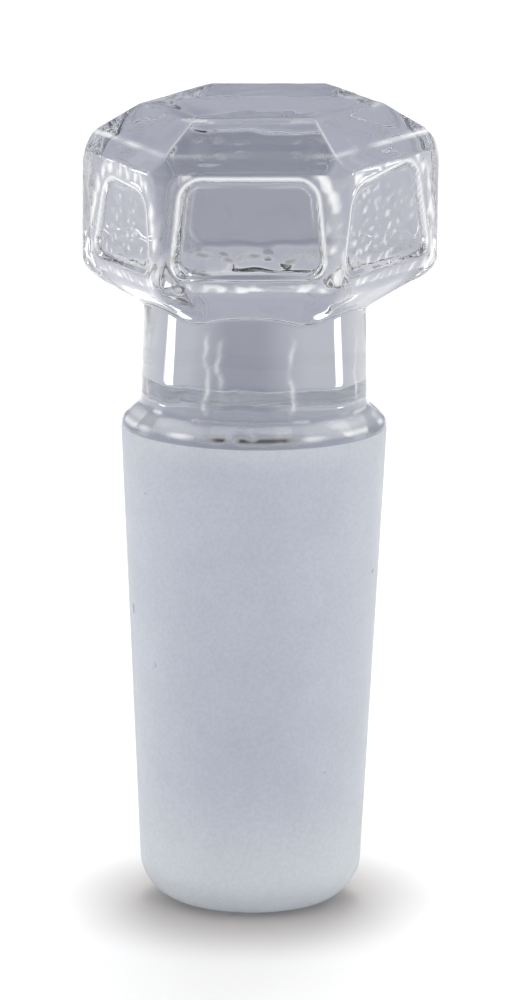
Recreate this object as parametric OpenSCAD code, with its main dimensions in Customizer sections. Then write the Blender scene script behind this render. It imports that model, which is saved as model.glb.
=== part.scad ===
// Solid glass stopper for a 14/23 standard-taper socket. One piece of glass: a ground cone that
// seals in the socket, a short clear neck, and a six-sided pressed head to grip.
// Millimetres, +Z up. It stands on the small end of the cone, with the axis on Z and one flat of
// the head facing -Y.

/* [Ground cone] */
// Diameter of the ground cone at its rim
cone_d = 14.6; // [10:0.1:20]
// Height of the ground cone, from the foot to the rim
cone_h = 27; // [18:0.5:40]
// Diameter lost for each millimetre of height, one in ten on a standard taper
cone_taper = 0.1; // [0.05:0.01:0.12]
// Radius that rounds the foot of the cone
foot_round = 2.5; // [0.5:0.1:3]

/* [Shoulder and neck] */
// Height of the bevel from the rim up to the neck
shoulder_h = 1; // [0.6:0.1:2]
// Radius that softens the rim where the grinding stops
rim_round = 0.25; // [0.1:0.05:0.4]
// Diameter of the neck at the shoulder
neck_low_d = 12.4; // [9:0.1:14]
// Diameter of the neck under the head
neck_top_d = 12.2; // [9:0.1:14]
// Height of the neck, from the shoulder to the head
neck_h = 5.2; // [3:0.1:12]
// Radius of the cove at the foot of the neck
neck_cove = 0.2; // [0.1:0.05:0.6]

/* [Head] */
// Width of the head across opposite corners
head_corner_w = 19.5; // [18:0.1:24]
// Width of the head across opposite flats, at the top of the flats
head_flat_w = 17.4; // [16:0.1:18.4]
// How much each flat leans in, from its top to the neck
flat_lean = 0.32; // [0:0.02:0.6]
// Height of the head, from the neck to the top face
head_h = 11.5; // [10:0.1:16]
// Rise of the sloping underside, from the neck to the side of the head
underside_h = 2.45; // [1:0.05:3]
// How far the corners of the underside are rounded back
underside_blunt = 0.15; // [0.05:0.05:0.3]
// Radius that rounds the lower edge of the head
lower_round = 1; // [0.4:0.1:1.6]
// Radius that rounds the upper corners of the head
corner_round = 1.3; // [0.6:0.1:2.6]
// Slope of the upper corners, in degrees from level
corner_slope = 33; // [28:1:40]
// How far below the top face the upper corners would meet the side
corner_drop = 1.85; // [1.4:0.05:2.6]

/* [Panels] */
// Plain edge left on each side of the panel pressed into a flat
panel_margin = 0.5; // [0.3:0.05:1.2]
// How far the top of the panel lies under the top of the flat
panel_drop = 0.25; // [0.1:0.05:0.8]
// How far the foot of the panel lies over the lower edge of the flat
panel_rise = 0.8; // [0.6:0.1:2.4]
// Depth of the panel
panel_depth = 0.15; // [0.05:0.05:0.4]
// Radius of the corners of the panel
panel_round = 1.1; // [0.3:0.1:2]

/* [Crown] */
// Height of the sloping crown under the top face
crown_h = 1.65; // [1:0.05:2.4]
// How far the crown slopes in on each side
crown_in = 2.35; // [1:0.05:3]
// Height of the steep band between the crown and the flats
band_h = 0.9; // [0.4:0.05:1.6]
// How far the band leans in on each side
band_in = 0.55; // [0.2:0.05:1]

/* [Hidden] */

SIDES = 6;
ROUND_STEPS = 10;
TURN_FN = 128;
CLEAR_GLASS = [0.80, 0.82, 0.87];

HALF_SIDE = 180 / SIDES;

rim_r = cone_d / 2;
foot_r = rim_r - cone_h * cone_taper / 2;
neck_z = cone_h + shoulder_h;
head_z = neck_z + neck_h;
top_z = head_z + head_h;
neck_top_r = neck_top_d / 2;
corner_r = head_corner_w / 2;
corner_z = top_z - corner_drop;
corner_top_r = corner_r - corner_drop / tan(corner_slope);
flat_r = head_flat_w / 2;
band_z = top_z - crown_h - band_h;
flat_slope = flat_lean / (band_z - head_z);
crown_z = top_z - crown_h;
crown_r = flat_r - band_in;
top_r = crown_r - crown_in;
slab_w = head_corner_w * 1.2;
under_in = neck_top_r * cos(HALF_SIDE);
under_slope = underside_h / (corner_r - neck_top_r) / cos(HALF_SIDE);
low_r = (flat_r - flat_lean - flat_slope * under_slope * under_in) / (1 - flat_slope * under_slope);
low_z = head_z + (low_r - under_in) * under_slope;

function unit(v) = v / norm(v);
function turned(v, a) = [v.x * cos(a) - v.y * sin(a), v.x * sin(a) + v.y * cos(a)];

// Points of the arc of radius r that rounds the corner b between the sides from a and to c
function rounded(a, b, c, r) =
    let (
        back = unit(a - b),
        ahead = unit(c - b),
        half = acos(back * ahead) / 2,
        centre = b + unit(back + ahead) * r / sin(half),
        start = b + back * r / tan(half),
        sweep = sign(cross(b - a, c - b)) * (180 - 2 * half)
    )
    [for (i = [0:ROUND_STEPS]) centre + turned(start - centre, sweep * i / ROUND_STEPS)];

// Distance from the axis to a flat at the height z, and half the width of the flat there
function flat_at(z) = flat_r - (band_z - z) * flat_slope;
function flat_half(z) = min(flat_at(z) * tan(HALF_SIDE), sqrt(pow(corner_r, 2) - pow(flat_at(z), 2)));

// Solid of revolution whose half section is the outline given, with radius as x and height as y
module turn(outline) {
    rotate_extrude($fn = TURN_FN)
        polygon(outline);
}

// Ground cone with its rounded foot, the bevelled shoulder and the neck, up into the head
module plug() {
    foot = [foot_r, 0];
    rim = [rim_r, cone_h];
    neck_low = [neck_low_d / 2, neck_z];
    neck_top = [neck_top_r, head_z];
    turn(concat(
        [[0, 0]],
        rounded([0, 0], foot, rim, foot_round),
        rounded(foot, rim, neck_low, rim_round),
        rounded(rim, neck_low, neck_top, neck_cove),
        [neck_top, [neck_top_r, head_z + underside_h], [0, head_z + underside_h]]
    ));
}

// Round blank of the head: sloping underside, rounded edges and the slope of the upper corners
module head_blank() {
    low = [neck_top_r, head_z + underside_blunt];
    side_low = [corner_r, head_z + underside_h + underside_blunt];
    side_top = [corner_r, corner_z];
    top = [corner_top_r, top_z];
    turn(concat(
        [[0, head_z + underside_blunt]],
        [low],
        rounded(low, side_low, side_top, lower_round),
        rounded(side_low, side_top, top, corner_round),
        [top, [0, top_z]]
    ));
}

// Two opposite sides of the head, drawn end on and run across its width: the underside, the
// leaning flat, the steep band and the crown
module side_pair() {
    under = [under_in, head_z];
    flat_low = [low_r, low_z];
    flat_top = [flat_r, band_z];
    right = concat(
        [under],
        rounded(under, flat_low, flat_top, lower_round),
        [flat_top, [crown_r, crown_z], [top_r, top_z]]
    );
    left = [for (i = [len(right) - 1:-1:0]) [-right[i].x, right[i].y]];
    rotate([90, 0, 90])
        linear_extrude(height = slab_w, center = true)
            polygon(concat(right, left));
}

// Panel cut into the flat that faces -Y, drawn on the leaning flat from the top of the flat down
module panel() {
    lean = atan(flat_slope);
    foot_z = low_z + panel_rise;
    end_z = band_z - panel_drop;
    low = [flat_half(foot_z) - panel_margin, (foot_z - band_z) / cos(lean)];
    top = [flat_half(end_z) - panel_margin, (end_z - band_z) / cos(lean)];
    corners = [low, top, [-top.x, top.y], [-low.x, low.y]];
    outline = [for (i = [0:len(corners) - 1]) each rounded(
        corners[(i + len(corners) - 1) % len(corners)],
        corners[i],
        corners[(i + 1) % len(corners)],
        panel_round
    )];
    translate([0, -flat_r, band_z])
        rotate([90 + lean, 0, 0])
            translate([0, 0, -panel_depth])
                linear_extrude(height = 2 * panel_depth)
                    polygon(outline);
}

// Head: the blank pressed to six sides, with a panel in each flat
module head() {
    difference() {
        intersection() {
            head_blank();
            side_pair();
            rotate([0, 0, 2 * HALF_SIDE])
                side_pair();
            rotate([0, 0, 4 * HALF_SIDE])
                side_pair();
        }
        for (i = [0:SIDES - 1])
            rotate([0, 0, i * 2 * HALF_SIDE])
                panel();
    }
}

module stopper() {
    color(CLEAR_GLASS)
        union() {
            plug();
            head();
        }
}

stopper();
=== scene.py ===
"""Glass stopper: clear pressed head and neck over a finely ground cone, on a pale studio floor."""
import math

import bpy
import numpy as np
from mathutils import Matrix, Vector


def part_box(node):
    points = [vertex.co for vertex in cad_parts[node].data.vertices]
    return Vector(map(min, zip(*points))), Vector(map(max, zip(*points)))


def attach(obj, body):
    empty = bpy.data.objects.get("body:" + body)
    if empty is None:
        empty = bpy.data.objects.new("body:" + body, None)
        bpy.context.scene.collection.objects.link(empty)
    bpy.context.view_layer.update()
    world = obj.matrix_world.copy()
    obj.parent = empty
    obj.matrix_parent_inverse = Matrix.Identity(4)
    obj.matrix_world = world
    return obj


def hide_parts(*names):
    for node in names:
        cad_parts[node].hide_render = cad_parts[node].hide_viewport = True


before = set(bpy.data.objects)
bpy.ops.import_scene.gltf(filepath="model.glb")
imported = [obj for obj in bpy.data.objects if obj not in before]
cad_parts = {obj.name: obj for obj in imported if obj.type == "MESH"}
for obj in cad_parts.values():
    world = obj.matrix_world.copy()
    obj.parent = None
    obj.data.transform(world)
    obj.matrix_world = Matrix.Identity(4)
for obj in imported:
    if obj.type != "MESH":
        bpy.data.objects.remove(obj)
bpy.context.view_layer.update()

MM = 0.001

# ---------------------------------------------------------------- sizes of the glass, in mm
LOW, HIGH = (Vector(corner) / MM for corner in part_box("stopper"))
HEIGHT = HIGH.z - LOW.z
CORNER_R = (HIGH.x - LOW.x) / 2     # axis to the corner ribs of the head
FLAT_R = (HIGH.y - LOW.y) / 2       # axis to the top of each flat
SIDES = 6

# ground cone, shoulder and neck
RIM_R = 7.3
RIM_Z = 27.0
TAPER = 0.05                        # radius lost for each unit of height
FOOT_ROUND = 2.5
GROUND_TOP = RIM_Z - 0.25           # the grinding stops here, just under the rim
SHOULDER_Z = RIM_Z + 1.0
NECK_R = 6.2                        # at the shoulder
NECK_TOP_R = 6.1                    # under the head
HEAD_Z = SHOULDER_Z + 5.2           # where the neck meets the head

# pressed head
UNDERSIDE_RISE = 2.45               # from the neck to the side of the head, at a corner
FLAT_LEAN = 0.035                   # how much wider the flats stand for each unit of height
CROWN_Z = HEIGHT - 1.65             # top of the band, foot of the crown
CROWN_R = FLAT_R - 0.75             # axis to the foot of the crown
BAND_Z = CROWN_Z - 0.9              # top of the flats
TOP_R = CROWN_R - 2.35              # axis to the sides of the top face
CORNER_TOP_Z = HEIGHT - 1.83        # where the slope of the upper corners would meet the ribs
CORNER_SLOPE = math.radians(33)
RIB_WIDTH = 1.1                     # half width of the swelling where a corner rib meets the underside
RIB_DROP = 0.5                      # how far the corner ribs swell under the head
HEAD_SHIFT = 0.24                   # the head sits a little off the axis of the cone
HEAD_TILT = math.tan(math.radians(1.3))

# how far each kind of edge is rounded
CORNER_ROUND = 1.3
LOWER_ROUND = 0.8
UNDERSIDE_SOFT, RIB_SOFT, BAND_SOFT, CROWN_SOFT, TOP_SOFT = 0.5, 0.12, 0.1, 0.1, 0.2
RIM_SOFT, COVE_SOFT = 0.2, 0.15

# the shallow panels pressed into the flats: half width and shift at the foot and at the top,
# height of the top edge, and its slant. Each flat has the same panel as the flat opposite
PANEL_LOW, PANEL_HIGH = 36.4, 41.9
FRONT_PANEL = {"half": (4.2, 3.65), "shift": (0.0, 0.0), "top": 41.9, "slant": 0.0}
RIGHT_PANEL = {"half": (4.2, 3.0), "shift": (-0.3, -0.75), "top": 41.65, "slant": 0.13}
LEFT_PANEL = {"half": (3.6, 2.4), "shift": (0.35, 1.1), "top": 41.05, "slant": -0.04}
PANELS = (FRONT_PANEL, RIGHT_PANEL, LEFT_PANEL) * 2
PANEL_ROUND = 1.1
PANEL_DEPTH = 0.15
PANEL_STEP = 0.45                   # width of the slope from the flat down into the panel
BEAD_HEIGHT = 0.06                  # of the fine bead round each panel
BEAD_WIDTH = 0.2
CRINKLE_Z = 37.6                    # height of the wavy line low on the front flat
CRINKLE_HALF = 3.6                  # half the length of that line
SIDE_X = 5.0                        # the flats further out than this are the rougher ones

# ---------------------------------------------------------------- unevenness of the glass
# each family of waves is: seed, how many waves, lowest and highest wave number in radians per mm
LONG_WAVES, LONG_HEIGHT = (3, 8, 0.5, 1.2), 0.035
SHORT_WAVES, SHORT_HEIGHT = (5, 14, 2.2, 4.5), 0.008
PEEL_WAVES, PEEL_HEIGHT = (29, 20, 5.0, 9.0), 0.006
CRINKLE_WAVES, CRINKLE_HEIGHT = (31, 12, 3.5, 8.0), 0.02
FLOW_WAVES, FLOW_HEIGHT = (37, 10, 2.0, 6.0), 0.02
NECK_WAVES, NECK_HEIGHT = (7, 10, 1.5, 4.0), 0.03
RIM_WAVES, RIM_HEIGHT = (11, 10, 4.0, 7.0), 0.012

# waves that break up the painted highlights and the painted dark lines
BROKEN_WAVES = (13, 10, 0.8, 2.5)
GLINT_WAVES = (17, 12, 1.0, 3.0)
RIB_CRUMB_WAVES = (19, 20, 6.0, 11.0)
NECK_FOOT_WAVES = (23, 12, 1.5, 4.5)
STREAK_SEED, STREAK_WAVES = 41, (6, 2.0, 6.0)
DASH_WAVES = (53, 8, 2.0, 6.0)
DARK_CRUMB_WAVES = (59, 14, 4.0, 11.0)
SPECK_WAVES = (61, 24, 8.0, 14.0)
SPECK_PATCH_WAVES = (67, 6, 0.6, 1.4)

# painted highlights: where they lie, half width, and some with their strength
OUTLINE_AT, OUTLINE_WIDTH = 0.05, 0.12              # round a panel, measured out from its edge
INNER_AT, INNER_WIDTH, INNER_SHINE = -0.42, 0.05, 0.5
RIB_GLOW_AT, RIB_GLOW_WIDTH, RIB_GLOW = 0.7, 0.45, 0.28
RIDGE_WIDTH, RIDGE_SHINE = 0.1, 0.35                # ridges up the crown
CROWN_FOOT_WIDTH = 0.1
TOP_LINE_Z, TOP_LINE_WIDTH, TOP_SHINE = HEIGHT - 0.12, 0.1, 0.5
RIM_LINE_Z, RIM_LINE_WIDTH = RIM_Z + 0.2, 0.15
BEVEL_Z, BEVEL_WIDTH = RIM_Z + 0.6, 0.35
NECK_FOOT_WIDTH = 0.09
FRONT_GAP = 28                                      # degrees left plain at the front of the rim
SPECK_SHINE = 0.7

# painted dark lines at the front, painted shade: middle, half length, half width and strength
DASH_X, DASH_LENGTH, DASH_WIDTH = 0.3, 2.0, 0.2
DARK_FOOT_LENGTH, DARK_FOOT_WIDTH, DARK_FOOT = 3.5, 0.07, 0.5
DARK_CRINKLE_LENGTH, DARK_CRINKLE_WIDTH, DARK_CRINKLE = 3.0, 0.2, 0.75

# painted highlights in streaks down the neck, in degrees from the front
STREAKS = (-66, -21, -14, 23, 68, 112, 141, 168, 205, 237)
STREAK_WIDTH, STREAK_SHINE = 1.5, 0.5               # half width in degrees, and strength
# paired painted glints on each side of the rim: degrees from the front, half width, strength
RIM_GLINTS = ((30, 8, 0.95), (54, 7, 0.8))

# ---------------------------------------------------------------- mesh
MERIDIANS = 480
RIB_CROWD, CROWD_WIDTH = 0.1, 0.09  # meridians crowd this far from each corner rib, in radians
# rings of vertices from foot to crown: lowest height, highest height, how many
LEVELS = (
    (0.6, FOOT_ROUND + 0.3, 11),
    (FOOT_ROUND + 1.5, RIM_Z - 0.8, 10),
    (RIM_Z - 0.5, SHOULDER_Z + 0.2, 22),
    (SHOULDER_Z + 0.4, HEAD_Z - 0.3, 16),
    (HEAD_Z - 0.2, PANEL_LOW - 0.5, 24),
    (PANEL_LOW - 0.43, PANEL_LOW + 0.5, 12),
    (PANEL_LOW + 0.6, CRINKLE_Z + 0.4, 11),
    (CRINKLE_Z + 0.55, 40.4, 14),
    (40.5, CROWN_Z + 0.3, 33),
    (CROWN_Z + 0.42, 43.9, 6),
)
FOOT_RINGS, TOP_RINGS = 12, 30      # rings that close the two ends
FOOT_START, TOP_START = 6.0, 40.0   # heights inside the glass from which the ends are measured
FAR = 14.0                          # longer than any ray inside the glass
HALVINGS = 36                       # steps that close in on the surface along each ray

# ---------------------------------------------------------------- finishes, painted highlights and painted shade
CLEAR_TINT = (0.97, 0.975, 0.985, 1)
# near black of the painted shade along the dark lines
PAINTED_SHADE_TINT = (0.03, 0.03, 0.035, 1)
# the painted highlights are white glass that hides what is behind it
HIGHLIGHT_COVER = 0.75                        # how far a full bright line hides what is behind it
GROUND_FACE = (0.72, 0.75, 0.83, 1)
# painted sheen where the ground glass is seen edge on
GROUND_PAINTED_SHEEN = (0.95, 0.98, 1.0, 1)
# painted light that makes the foot of the ground glass paler
GROUND_FOOT_PAINTED_LIGHT = (0.93, 0.97, 0.98, 1)
# painted highlight in a band under the rim
GROUND_RIM_PAINTED_HIGHLIGHT = (0.84, 0.87, 0.90, 1)
GRAIN_SCALE, CLOUD_SCALE, SPECK_SCALE = 5200, 260, 1500
GLASS_IOR = 1.5
WHITE = (1, 1, 1, 1)
FLOOR_TINT = (0.9, 0.9, 0.9, 1)
# colour of the contact shadow painted on the floor round the foot of the glass
FLOOR_PAINTED_SHADOW = (0.5, 0.48, 0.47, 1)
FLOOR_HALF = 6.0                    # half the side of the floor, in metres

# ---------------------------------------------------------------- what the glass sees around it
DEEP = (0.24, 0.25, 0.31, 1)
GREY = (0.30, 0.31, 0.37, 1)
LIGHT = (0.41, 0.42, 0.49, 1)
PALE = (0.46, 0.47, 0.53, 1)
MID = (0.52, 0.53, 0.57, 1)
FRONT = (0.58, 0.59, 0.63, 1)
STRIP = (1.5, 1.5, 1.55, 1)
BOX = (2.2, 2.2, 2.2, 1)
BACKDROP_STRENGTH = 1.05            # of the white that the camera sees
# bands of direction that the lights fill: low end, high end, softness
STRIP_RISE = (-0.28, -0.207, 0.012)
RIGHT_STRIP, LEFT_STRIP = (0.53, 0.6, 0.02), (-0.66, -0.62, 0.015)
SIDE_BOX, SIDE_BOX_RISE = (0.9, 0.97, 0.02), (0, 0.3, 0.05)
TOP_BOX_RISE = (0.64, 0.9, 0.03)

# ---------------------------------------------------------------- camera
CAMERA_AZIMUTH = math.radians(4)
CAMERA_ELEVATION = math.radians(12.3)
CAMERA_ROLL = math.radians(0.5)
CAMERA_DISTANCE = 0.6
VIEW_HEIGHT = 0.0549                # height of the view at the glass
TARGET_Z = 22.42 * MM               # the camera looks at this height
TARGET_SHIFT = 0.5 * MM             # and this far to the right of the axis
SENSOR = 36


# ---------------------------------------------------------------- forms
def both(a, b, soft):
    """Signed distance of the overlap of two forms, with its edge rounded."""
    edge = np.hypot(np.maximum(soft + a, 0), np.maximum(soft + b, 0))
    return np.minimum(-soft, np.maximum(a, b)) + edge


def either(a, b, soft):
    """Signed distance of the union of two forms, with a cove where they meet."""
    return -both(-a, -b, soft)


def slope(r, z, low, high):
    """Signed distance from the cone through two points (radius, height), positive outside."""
    run, rise = high[0] - low[0], high[1] - low[1]
    return ((r - low[0]) * rise - (z - low[1]) * run) / math.hypot(run, rise)


def line(distance, half_width):
    """Strength of a soft line, one on the line itself."""
    return np.exp(-(distance / half_width) ** 2)


def swells(x, y, z, seed, count, low, high):
    """Sum of slow waves in every direction, with wave numbers from low to high."""
    rng = np.random.default_rng(seed)
    total = 0
    for _ in range(count):
        way = rng.normal(size=3)
        way *= rng.uniform(low, high) / np.linalg.norm(way)
        total = total + np.sin(way[0] * x + way[1] * y + way[2] * z + rng.uniform(0, 2 * math.pi))
    return total / math.sqrt(count)


def facing(x, y, turn):
    """Distance out from the axis in the direction turn, and distance along its right-hand side."""
    return x * math.cos(turn) + y * math.sin(turn), y * math.cos(turn) - x * math.sin(turn)


def flat_turn(side):
    """Direction that a flat faces. Flat 0 faces -Y."""
    return math.radians(360 / SIDES * side - 90)


# ---------------------------------------------------------------- shape of the glass
def plug_form(r, z):
    """Ground cone, shoulder and neck."""
    foot_r = RIM_R - RIM_Z * TAPER
    cone = both(slope(r, z, (foot_r, 0), (RIM_R, RIM_Z)), -z, FOOT_ROUND)
    cone = both(cone, slope(r, z, (RIM_R, RIM_Z), (NECK_R, SHOULDER_Z)), RIM_SOFT)
    neck = slope(r, z, (NECK_R, SHOULDER_Z), (NECK_TOP_R, HEAD_Z))
    neck = np.maximum(neck, np.maximum(RIM_Z - 2 - z, z - HEAD_Z - UNDERSIDE_RISE))
    return either(cone, neck, COVE_SOFT)


def panel_edge(panel, along, z):
    """Signed distance from the outline of the panel on a flat, positive outside."""
    share = (z - PANEL_LOW) / (PANEL_HIGH - PANEL_LOW)
    half = panel["half"][0] + (panel["half"][1] - panel["half"][0]) * share
    shift = panel["shift"][0] + (panel["shift"][1] - panel["shift"][0]) * share
    top = z - panel["top"] - panel["slant"] * (along - shift)
    return both(np.abs(along - shift) - half, np.maximum(top, PANEL_LOW - z), PANEL_ROUND)


def panel_dip(edge):
    """Depth of the panel pressed into a flat, at a distance from its outline."""
    step = np.clip(0.5 - edge / PANEL_STEP, 0, 1)
    return PANEL_DEPTH * step * step * (3 - 2 * step) - BEAD_HEIGHT * line(edge, BEAD_WIDTH)


def head_form(x, y, z):
    """Pressed head: round blank with six flats, a sloping underside, a steep band and a crown."""
    x, z = x - HEAD_SHIFT, z - x * HEAD_TILT
    r = np.hypot(x, y)
    reach = 2.0
    corner_end = (CORNER_R - reach, CORNER_TOP_Z + reach * math.tan(CORNER_SLOPE))
    corners = slope(r, z, (CORNER_R, CORNER_TOP_Z), corner_end)
    ring = both(r - CORNER_R, corners, CORNER_ROUND)
    flats = under = band = crown = np.full_like(r, -50.0)
    ribs = np.zeros_like(r)
    outward = np.clip((r - NECK_TOP_R) / (CORNER_R - NECK_TOP_R), 0, 1)
    to_flat = math.cos(math.pi / SIDES)
    under_in = (NECK_TOP_R * to_flat, HEAD_Z)
    under_out = (CORNER_R * to_flat, HEAD_Z + UNDERSIDE_RISE)
    flat_low = (FLAT_R - (BAND_Z - HEAD_Z) * FLAT_LEAN, HEAD_Z)
    flat_high = (FLAT_R, BAND_Z)
    crown_low = (CROWN_R, CROWN_Z)
    for side in range(SIDES):
        turn = flat_turn(side)
        out, along = facing(x, y, turn)
        flat = slope(out, z, flat_low, flat_high)
        dip = panel_dip(panel_edge(PANELS[side], along, z))
        flats = np.maximum(flats, np.where(out > 0, flat + dip, flat))
        band = np.maximum(band, slope(out, z, flat_high, crown_low))
        crown = np.maximum(crown, slope(out, z, crown_low, (TOP_R, HEIGHT)))
        under = both(under, slope(out, z, under_in, under_out), UNDERSIDE_SOFT)
        out, off = facing(x, y, turn + math.pi / SIDES)
        ribs = np.maximum(ribs, line(off, RIB_WIDTH) * (out > 0) * outward)
    form = both(ring, flats, RIB_SOFT)
    form = both(form, under - RIB_DROP * ribs, LOWER_ROUND)
    form = both(form, band, BAND_SOFT)
    form = both(form, crown, CROWN_SOFT)
    return both(form, z - HEIGHT, TOP_SOFT)


def crinkle_height(x):
    """Height of the wavy line low on the front flat."""
    return CRINKLE_Z + 0.12 * np.sin(1.9 * x) + 0.07 * np.sin(4.3 * x + 1)


def unevenness(x, y, z):
    """How far the pressed and drawn surface sinks below its ideal form."""
    head = np.clip((z - HEAD_Z + 0.5) / 2, 0, 1)
    neck = np.clip(z - RIM_Z, 0, 1) * (1 - head)
    side_flat = np.clip((np.abs(x) - SIDE_X) / 1.5, 0, 1)
    side_flat = side_flat * np.clip((z - PANEL_LOW) / 0.5, 0, 1) * (z < BAND_Z)
    on_crinkle = line(z - crinkle_height(x), 0.22) * np.clip(-y - 7, 0, 1)
    on_crinkle = on_crinkle * np.clip((CRINKLE_HALF - np.abs(x - 0.3)) / 0.5, 0, 1)
    long_wave = LONG_HEIGHT * swells(x, y, z, *LONG_WAVES) * head
    short_wave = SHORT_HEIGHT * swells(x, y, z, *SHORT_WAVES) * head
    peel = PEEL_HEIGHT * swells(x, y, z, *PEEL_WAVES) * side_flat
    crinkle = CRINKLE_HEIGHT * (1 + swells(x, y, z, *CRINKLE_WAVES)) * on_crinkle
    flow = FLOW_HEIGHT * swells(0.3 * x, 0.3 * y, z, *FLOW_WAVES) * line(z - HEAD_Z - 1.6, 1.2)
    drawn = NECK_HEIGHT * swells(x, y, 0.2 * z, *NECK_WAVES) * neck
    chatter = RIM_HEIGHT * swells(x, y, 0.5 * z, *RIM_WAVES) * line(z - RIM_Z - 0.3, 0.6)
    return long_wave + short_wave + peel + crinkle + flow + drawn + chatter


def glass_form(points):
    """Signed distance from the surface of the glass, negative inside."""
    x, y, z = points[..., 0], points[..., 1], points[..., 2]
    form = either(plug_form(np.hypot(x, y), z), head_form(x, y, z), COVE_SOFT)
    return form + unevenness(x, y, z)


# ---------------------------------------------------------------- painted highlights and painted shade
def panel_shine(x, y, z, out, edge, broken):
    """Painted highlights on one flat: the outline of its panel, a fainter line inside it, and specks on the
    side flats.
    """
    outline = line(edge - OUTLINE_AT, OUTLINE_WIDTH)
    inner = INNER_SHINE * line(edge - INNER_AT, INNER_WIDTH) * broken
    shine = np.maximum(outline, inner) * np.clip((z - PANEL_LOW) / 0.8, 0.1, 1)
    specks = SPECK_SHINE * np.clip(swells(x, y, z, *SPECK_WAVES) - 0.5, 0, 1)
    specks = specks * np.clip(0.6 + swells(x, y, z, *SPECK_PATCH_WAVES), 0, 1)
    specked = (edge < -0.3) & (np.abs(x) > SIDE_X)
    shine = np.maximum(shine, np.where(specked, specks, 0))
    return np.where((out > FLAT_R - 0.9) & (z < BAND_Z + 0.3), shine, 0)


def corner_shine(x, y, z, turn, edge, broken):
    """Painted highlights at the corner in the direction turn: a ridge up the crown and a glowing rib down
    the side.
    """
    out, off = facing(x, y, turn)
    ridge = RIDGE_SHINE * line(off, RIDGE_WIDTH) * broken
    crumbs = np.clip(swells(x, y, 0.8 * z, *RIB_CRUMB_WAVES) + 0.1, 0, 0.8)
    glow = (RIB_GLOW + crumbs) * line(edge - RIB_GLOW_AT, RIB_GLOW_WIDTH) * (edge > 0.25)
    on_rib = (z < BAND_Z) & (z > HEAD_Z + UNDERSIDE_RISE)
    shine = np.where(z > CROWN_Z, ridge, np.where(on_rib, glow, 0))
    return np.where(out > TOP_R, shine, 0)


def head_shine(x, y, z):
    """Painted highlights along the edges of the head."""
    x = x - HEAD_SHIFT
    z = z - x * HEAD_TILT
    r = np.hypot(x, y)
    broken = np.clip(0.7 + 0.5 * swells(x, y, z, *BROKEN_WAVES), 0.1, 1)
    crown_foot = line(z - CROWN_Z, CROWN_FOOT_WIDTH) * broken * (z > BAND_Z)
    crown_foot = crown_foot * (0.1 + 0.9 * (x / r) ** 2)
    top = TOP_SHINE * line(z - TOP_LINE_Z, TOP_LINE_WIDTH) * broken
    shine = np.maximum(crown_foot, top)
    for side in range(SIDES):
        turn = flat_turn(side)
        out, along = facing(x, y, turn)
        edge = panel_edge(PANELS[side], along, z)
        shine = np.maximum(shine, panel_shine(x, y, z, out, edge, broken))
        shine = np.maximum(shine, corner_shine(x, y, z, turn + math.pi / SIDES, edge, broken))
    return np.where(r > NECK_R, shine, 0)


def rim_shine(x, y, z, around):
    """Painted glints along the rim, over the bevel and at the foot of the neck."""
    glints = np.clip(1.8 * swells(x, y, z, *GLINT_WAVES), 0, 1) * (1 - line(around, FRONT_GAP))
    paired = sum(strength * line(np.abs(around) - place, width) for place, width, strength in RIM_GLINTS)
    rim = line(z - RIM_LINE_Z, RIM_LINE_WIDTH) * np.maximum(glints, paired)
    bevel = line(z - BEVEL_Z, BEVEL_WIDTH) * (0.28 + 0.3 * glints)
    patches = np.clip(1.4 * swells(x, y, z, *NECK_FOOT_WAVES), 0, 0.8)
    neck_foot = line(z - SHOULDER_Z, NECK_FOOT_WIDTH) * patches * (1 - line(around, 25))
    return np.maximum(np.maximum(rim, bevel), neck_foot)


def streak_shine(x, y, z, around):
    """Pale painted highlights in streaks down the neck."""
    shine = np.zeros_like(z)
    for i, streak in enumerate(STREAKS):
        wander = 1.2 * np.sin(2.1 * z + i) + 0.7 * np.sin(5.3 * z + 2 * i)
        off = (around - streak - wander + 180) % 360 - 180
        ends = np.clip((z - SHOULDER_Z - 0.2) / 0.5, 0, 1) * np.clip((HEAD_Z - 0.1 * i - z) / 0.8, 0, 1)
        patchy = np.clip(0.7 + 0.6 * swells(x, y, z, STREAK_SEED + i, *STREAK_WAVES), 0, 1)
        shine = np.maximum(shine, STREAK_SHINE * line(off, STREAK_WIDTH) * ends * patchy)
    return shine


def painted_highlights(points):
    """Strength of the painted highlight at each point, from 0 to 1."""
    x, y, z = points.T
    around = np.degrees(np.arctan2(x, -y))
    neck = np.maximum(rim_shine(x, y, z, around), streak_shine(x, y, z, around))
    return np.maximum(head_shine(x, y, z), neck)


def painted_dark_lines(points):
    """Strength of the painted shade at each point: dark lines at the rim, the foot of the neck and the wavy
    line at the front, where the glass turns the light away.
    """
    x, y, z = points.T
    patchy = np.clip(1.1 + swells(x, y, z, *DASH_WAVES), 0, 1)
    dash = line(z - RIM_LINE_Z, DASH_WIDTH) * np.clip(2.4 * line(x - DASH_X, DASH_LENGTH), 0, 1)
    dash = dash * np.clip(patchy + 0.25, 0, 1)
    neck_foot = DARK_FOOT * line(z - SHOULDER_Z, DARK_FOOT_WIDTH) * line(x, DARK_FOOT_LENGTH) * patchy
    crumbs = np.clip(0.6 + swells(x, y, z, *DARK_CRUMB_WAVES), 0, 1)
    crinkle = DARK_CRINKLE * line(z - crinkle_height(x), DARK_CRINKLE_WIDTH) * crumbs
    crinkle = crinkle * np.clip(2 * line(x, DARK_CRINKLE_LENGTH), 0, 1)
    return np.maximum(np.maximum(dash, neck_foot), crinkle) * (y < 0)


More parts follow.
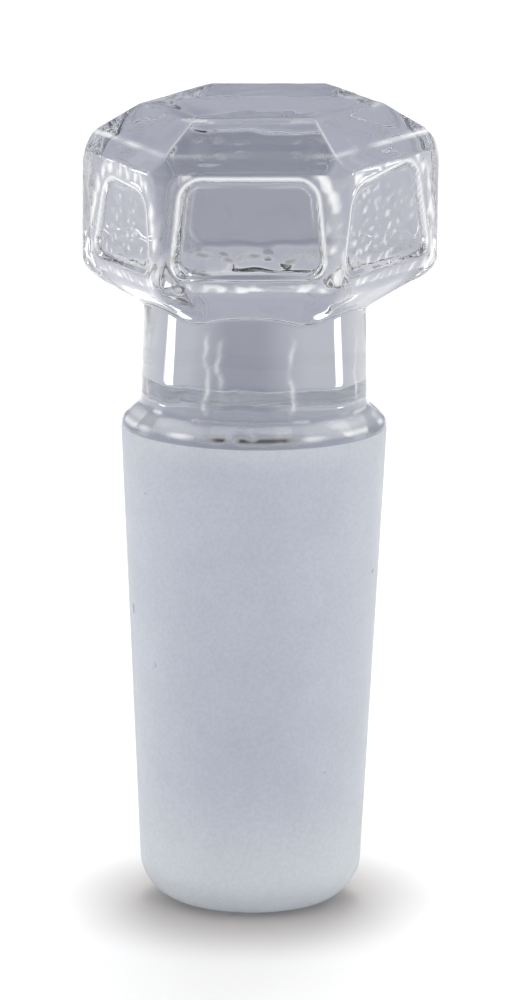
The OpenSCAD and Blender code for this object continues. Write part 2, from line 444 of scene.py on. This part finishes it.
# ---------------------------------------------------------------- mesh of the glass
def cast(starts, ways):
    """Points where rays from inside the glass leave it."""
    near, far = np.zeros(starts.shape[:-1]), np.full(starts.shape[:-1], FAR)
    for _ in range(HALVINGS):
        middle = (near + far) / 2
        inside = glass_form(starts + ways * middle[..., None]) < 0
        near, far = np.where(inside, middle, near), np.where(inside, far, middle)
    return starts + ways * near[..., None]


def crowded(low, high, count, spots, width):
    """Values from low to high that lie up to twice as close together round some spots."""
    fine = np.linspace(low, high, 4001)
    total = np.cumsum(1 + sum(line(fine - spot, width) for spot in spots))
    total = (total - total[0]) / (total[-1] - total[0])
    return np.interp(np.linspace(0, 1, count), total, fine)


def cap(ring, up, count, base):
    """Rings of upright rays that close the form over or under a ring."""
    share = np.linspace(1, 0, count + 1)[1:-1, None, None] ** 0.6
    starts = ring[None] * np.array([1, 1, 0]) * share
    starts[..., 2] = base
    return cast(starts, np.broadcast_to([0, 0, up], starts.shape))


def glass_mesh():
    """Closed mesh of the glass: upright rays under and over, level rays between."""
    sector = 2 * math.pi / SIDES
    crowd = (RIB_CROWD, sector - RIB_CROWD)
    turns = crowded(0, sector, MERIDIANS // SIDES + 1, crowd, CROWD_WIDTH)[:-1]
    angles = np.concatenate([turns + i * sector for i in range(SIDES)])
    round_way = np.stack([np.cos(angles), np.sin(angles), 0 * angles], -1)
    heights = np.concatenate([np.linspace(*level) for level in LEVELS])
    starts = np.zeros((len(heights), len(angles), 3))
    starts[..., 2] = heights[:, None]
    middle = cast(starts, np.broadcast_to(round_way, starts.shape))
    foot = cap(middle[0], -1, FOOT_RINGS, FOOT_START)
    top = cap(middle[-1], 1, TOP_RINGS, TOP_START)
    rings = np.concatenate([foot[::-1], middle, top])
    ends = np.array([[0, 0, foot[-1, :, 2].mean()], [0, 0, top[-1, :, 2].mean()]])
    points = np.concatenate([rings.reshape(-1, 3), ends])
    foot_end, top_end = len(points) - 2, len(points) - 1
    grid = np.arange(rings.shape[0] * rings.shape[1]).reshape(rings.shape[:2])
    ahead = np.roll(grid, -1, axis=1)
    quads = np.stack([grid[:-1], ahead[:-1], ahead[1:], grid[1:]], -1).reshape(-1, 4)
    faces = [tuple(quad) for quad in quads.tolist()]
    faces += [(foot_end, b, a) for a, b in zip(grid[0].tolist(), ahead[0].tolist())]
    faces += [(top_end, a, b) for a, b in zip(grid[-1].tolist(), ahead[-1].tolist())]
    return points, faces


def make_glass(clear, ground):
    """The stopper, with its two glasses and the strength of its painted highlights and painted dark lines.
    """
    points, faces = glass_mesh()
    mesh = bpy.data.meshes.new("stopper_glass")
    mesh.from_pydata((points * MM).tolist(), [], faces)
    mesh.materials.append(clear)
    mesh.materials.append(ground)
    mesh.polygons.foreach_set("use_smooth", [True] * len(mesh.polygons))
    centres = np.empty(len(mesh.polygons) * 3)
    mesh.polygons.foreach_get("center", centres)
    is_ground = (centres.reshape(-1, 3)[:, 2] < GROUND_TOP * MM).astype(int)
    mesh.polygons.foreach_set("material_index", is_ground.tolist())
    # edge holds the painted highlights, and the second attribute the painted shade of the dark lines
    for name, values in (("edge", painted_highlights(points)), ("painted_shade", painted_dark_lines(points))):
        mesh.attributes.new(name, "FLOAT", "POINT").data.foreach_set("value", values)
    mesh.update()
    piece = bpy.data.objects.new("stopper_glass", mesh)
    bpy.context.collection.objects.link(piece)
    return piece


# ---------------------------------------------------------------- materials
class Graph:
    """Adds nodes to a material or world. Most calls give the socket that holds their result."""

    def __init__(self, tree):
        self.nodes, self.links = tree.nodes, tree.links

    def feed(self, socket, value):
        """Link a socket to another one, or set it to a number or colour."""
        if isinstance(value, bpy.types.NodeSocket):
            self.links.new(value, socket)
        else:
            socket.default_value = value

    def coordinates(self, name):
        return self.nodes.new("ShaderNodeTexCoord").outputs[name]

    def attribute(self, name):
        node = self.nodes.new("ShaderNodeAttribute")
        node.attribute_name = name
        return node.outputs["Fac"]

    def split(self, vector):
        """The x, y and z of a vector."""
        node = self.nodes.new("ShaderNodeSeparateXYZ")
        self.feed(node.inputs[0], vector)
        return node.outputs

    def math(self, operation, a, b=0.0):
        node = self.nodes.new("ShaderNodeMath")
        node.operation = operation
        self.feed(node.inputs[0], a)
        self.feed(node.inputs[1], b)
        return node.outputs[0]

    def stretched(self, vector, factors):
        """A vector with each of its parts multiplied by a factor of its own."""
        node = self.nodes.new("ShaderNodeVectorMath")
        node.operation = "MULTIPLY"
        self.feed(node.inputs[0], vector)
        self.feed(node.inputs[1], factors)
        return node.outputs["Vector"]

    def scaled(self, vector, factor):
        node = self.nodes.new("ShaderNodeVectorMath")
        node.operation = "SCALE"
        self.feed(node.inputs[0], vector)
        self.feed(node.inputs["Scale"], factor)
        return node.outputs["Vector"]

    def length(self, vector):
        node = self.nodes.new("ShaderNodeVectorMath")
        node.operation = "LENGTH"
        self.feed(node.inputs[0], vector)
        return node.outputs["Value"]

    def ramp(self, value, low, high, first=0.0, last=1.0):
        """Goes smoothly from first to last while a value goes from low to high."""
        node = self.nodes.new("ShaderNodeMapRange")
        node.interpolation_type = "SMOOTHSTEP"
        self.feed(node.inputs["Value"], value)
        self.feed(node.inputs["From Min"], low)
        self.feed(node.inputs["From Max"], high)
        self.feed(node.inputs["To Min"], first)
        self.feed(node.inputs["To Max"], last)
        return node.outputs["Result"]

    def band(self, value, low, high, soft):
        """One between low and high, and zero past a soft edge on each side."""
        return self.math("MULTIPLY", self.ramp(value, low - soft, low), self.ramp(value, high + soft, high))

    def mixed(self, share, a, b):
        """Colour that goes from a to b while share goes from 0 to 1."""
        node = self.nodes.new("ShaderNodeMix")
        node.data_type = "RGBA"
        self.feed(node.inputs["Factor"], share)
        self.feed(node.inputs[6], a)
        self.feed(node.inputs[7], b)
        return node.outputs[2]

    def noise(self, place, scale, detail):
        node = self.nodes.new("ShaderNodeTexNoise")
        self.feed(node.inputs["Vector"], place)
        self.feed(node.inputs["Scale"], scale)
        self.feed(node.inputs["Detail"], detail)
        return node.outputs["Fac"]


def new_material(name):
    """A new material, its node graph and its shader."""
    material = bpy.data.materials.new(name)
    material.use_nodes = True
    return material, Graph(material.node_tree), material.node_tree.nodes["Principled BSDF"]


def clear_glass():
    """Clear polished glass, white along its painted highlights and near black along its painted dark lines.
    """
    material, graph, shader = new_material("clear_glass")
    shader.inputs["Roughness"].default_value = 0.0
    shader.inputs["IOR"].default_value = GLASS_IOR
    # edge is the painted highlight that whitens the glass; the second attribute is painted shade that
    # blackens it
    edge, painted_shade = graph.attribute("edge"), graph.attribute("painted_shade")
    cover = graph.math("MAXIMUM", graph.math("MULTIPLY", edge, HIGHLIGHT_COVER), painted_shade)
    graph.feed(shader.inputs["Transmission Weight"], graph.math("SUBTRACT", 1.0, cover))
    tint = graph.mixed(painted_shade, graph.mixed(edge, CLEAR_TINT, WHITE), PAINTED_SHADE_TINT)
    graph.feed(shader.inputs["Base Color"], tint)
    return material


def ground_glass():
    """Matt ground glass: a fine grain, faint clouds, a few dark specks, a painted sheen paler at its
    outline, painted light paler at its foot and a painted highlight band under the rim.
    """
    material, graph, shader = new_material("ground_glass")
    shader.inputs["Transmission Weight"].default_value = 0.6
    shader.inputs["Roughness"].default_value = 0.55
    shader.inputs["IOR"].default_value = GLASS_IOR
    place = graph.coordinates("Object")
    height = graph.split(place)["Z"]
    grazing = graph.nodes.new("ShaderNodeLayerWeight")
    grazing.inputs["Blend"].default_value = 0.4
    # painted sheen: paler where the surface turns away from view
    tint = graph.mixed(grazing.outputs["Facing"], GROUND_FACE, GROUND_PAINTED_SHEEN)
    # painted light: paler towards the foot, making up for the dark floor round it
    tint = graph.mixed(graph.ramp(height, 8 * MM, 1 * MM), tint, GROUND_FOOT_PAINTED_LIGHT)
    # painted highlight: a paler band under the rim
    tint = graph.mixed(graph.ramp(height, 25.2 * MM, 26.6 * MM), tint, GROUND_RIM_PAINTED_HIGHLIGHT)
    fine = graph.noise(place, GRAIN_SCALE, 3)
    grain = graph.ramp(fine, 0.3, 0.7, 0.95, 1.04)
    cloud = graph.ramp(graph.noise(place, CLOUD_SCALE, 3), 0.3, 0.7, 0.97, 1.03)
    speck = graph.ramp(graph.noise(place, SPECK_SCALE, 0), 0.86, 0.9, 1.0, 0.6)
    brightness = graph.math("MULTIPLY", graph.math("MULTIPLY", grain, cloud), speck)
    graph.feed(shader.inputs["Base Color"], graph.scaled(tint, brightness))
    bump = graph.nodes.new("ShaderNodeBump")
    bump.inputs["Strength"].default_value = 0.25
    bump.inputs["Distance"].default_value = 0.03 * MM
    graph.feed(bump.inputs["Height"], fine)
    graph.feed(shader.inputs["Normal"], bump.outputs["Normal"])
    return material


# ---------------------------------------------------------------- studio
def make_floor():
    """Pale matt floor, with a contact shadow painted darker close round the foot of the glass."""
    mesh = bpy.data.meshes.new("floor")
    half = FLOOR_HALF
    corners = [(-half, -half, 0), (half, -half, 0), (half, half, 0), (-half, half, 0)]
    mesh.from_pydata(corners, [], [(0, 1, 2, 3)])
    material, graph, shader = new_material("floor")
    # painted shadow: darker close round the foot of the glass, fading out by 12.5 mm
    from_glass = graph.length(graph.stretched(graph.coordinates("Object"), (1, 0.78, 1)))
    clear_of_painted_shadow = graph.ramp(from_glass, 4 * MM, 12.5 * MM)
    graph.feed(shader.inputs["Base Color"], graph.mixed(clear_of_painted_shadow, FLOOR_PAINTED_SHADOW, FLOOR_TINT))
    shader.inputs["Roughness"].default_value = 1
    shader.inputs["Specular IOR Level"].default_value = 0
    mesh.materials.append(material)
    floor = bpy.data.objects.new("floor", mesh)
    floor.visible_transmission = False
    bpy.context.collection.objects.link(floor)


def studio_colour(graph):
    """Colour of the studio in each direction: soft greys, with strips and boxes of light behind."""
    x, y, z = graph.split(graph.coordinates("Generated"))
    level = graph.math("SQRT", graph.math("SUBTRACT", 1.0, graph.math("MULTIPLY", z, z)))
    turn = graph.math("DIVIDE", x, level)
    side = graph.math("ABSOLUTE", turn)
    behind = graph.ramp(y, -0.1, 0.1)

    def lit(colour, area, light):
        return graph.mixed(graph.math("MULTIPLY", area, behind), colour, light)

    # straight behind the glass, from below to level, and then out to each side
    middle = graph.mixed(graph.ramp(z, -0.35, -0.15), DEEP, GREY)
    middle = graph.mixed(graph.ramp(z, -0.17, 0.0), middle, LIGHT)
    wing = graph.mixed(graph.band(z, -0.28, -0.2, 0.03), LIGHT, PALE)
    colour = graph.mixed(graph.ramp(side, 0.08, 0.4), middle, wing)
    colour = graph.mixed(graph.ramp(side, 0.62, 0.9), colour, MID)
    colour = graph.mixed(graph.ramp(z, -0.55, -0.75), colour, LIGHT)
    colour = graph.mixed(behind, FRONT, colour)
    # the lights
    rise = graph.band(z, *STRIP_RISE)
    for strip in (RIGHT_STRIP, LEFT_STRIP):
        colour = lit(colour, graph.math("MULTIPLY", graph.band(turn, *strip), rise), STRIP)
    side_box = graph.math("MULTIPLY", graph.band(side, *SIDE_BOX), graph.band(z, *SIDE_BOX_RISE))
    colour = lit(colour, side_box, BOX)
    return lit(colour, graph.band(z, *TOP_BOX_RISE), BOX)


def make_world():
    """White to the camera and as fill light, and a grey studio to the glass."""
    world = bpy.data.worlds.new("studio")
    bpy.context.scene.world = world
    world.use_nodes = True
    world.node_tree.nodes.clear()
    graph = Graph(world.node_tree)
    around = graph.nodes.new("ShaderNodeBackground")
    graph.feed(around.inputs["Color"], studio_colour(graph))
    seen = graph.nodes.new("ShaderNodeBackground")
    seen.inputs["Color"].default_value = WHITE
    seen.inputs["Strength"].default_value = BACKDROP_STRENGTH
    path = graph.nodes.new("ShaderNodeLightPath").outputs
    mix = graph.nodes.new("ShaderNodeMixShader")
    graph.feed(mix.inputs[0], graph.math("MAXIMUM", path["Is Camera Ray"], path["Is Diffuse Ray"]))
    graph.feed(mix.inputs[1], around.outputs[0])
    graph.feed(mix.inputs[2], seen.outputs[0])
    out = graph.nodes.new("ShaderNodeOutputWorld")
    graph.feed(out.inputs["Surface"], mix.outputs[0])


def direction(azimuth, elevation):
    """Unit vector from the glass. Azimuth 0 is the front, and positive is to the camera's right."""
    level = math.cos(elevation)
    return Vector((math.sin(azimuth) * level, -math.cos(azimuth) * level, math.sin(elevation)))


def make_key(azimuth, elevation, distance, size, power):
    """Square area light that casts the shadow on the floor, and isn't seen in the glass."""
    light = bpy.data.lights.new("key", "AREA")
    light.size = size
    light.energy = power
    lamp = bpy.data.objects.new("key", light)
    back = direction(math.radians(azimuth), math.radians(elevation))
    lamp.location = Vector((0, 0, HEIGHT / 2 * MM)) + back * distance
    lamp.rotation_mode = "QUATERNION"
    lamp.rotation_quaternion = back.to_track_quat("Z", "Y")
    lamp.visible_camera = lamp.visible_glossy = lamp.visible_transmission = False
    bpy.context.collection.objects.link(lamp)


def make_camera():
    """Long lens, a little above the head and a little to its right."""
    side = Vector((math.cos(CAMERA_AZIMUTH), math.sin(CAMERA_AZIMUTH), 0))
    back = direction(CAMERA_AZIMUTH, CAMERA_ELEVATION)
    up = back.cross(side)
    target = Vector((0, 0, TARGET_Z)) + side * TARGET_SHIFT
    data = bpy.data.cameras.new("camera")
    data.sensor_width = SENSOR
    data.lens = SENSOR * CAMERA_DISTANCE / VIEW_HEIGHT
    data.clip_start, data.clip_end = 0.01, 50
    camera = bpy.data.objects.new("camera", data)
    turned = Matrix((side, up, back)).transposed() @ Matrix.Rotation(CAMERA_ROLL, 3, "Z")
    camera.matrix_world = Matrix.Translation(target + back * CAMERA_DISTANCE) @ turned.to_4x4()
    bpy.context.collection.objects.link(camera)
    bpy.context.scene.camera = camera


bpy.context.scene.view_settings.view_transform = "Standard"
glass = make_glass(clear_glass(), ground_glass())
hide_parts("stopper")
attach(glass, "root")
make_floor()
make_world()
make_key(azimuth=180, elevation=60, distance=0.5, size=0.2, power=0.8)
make_camera()
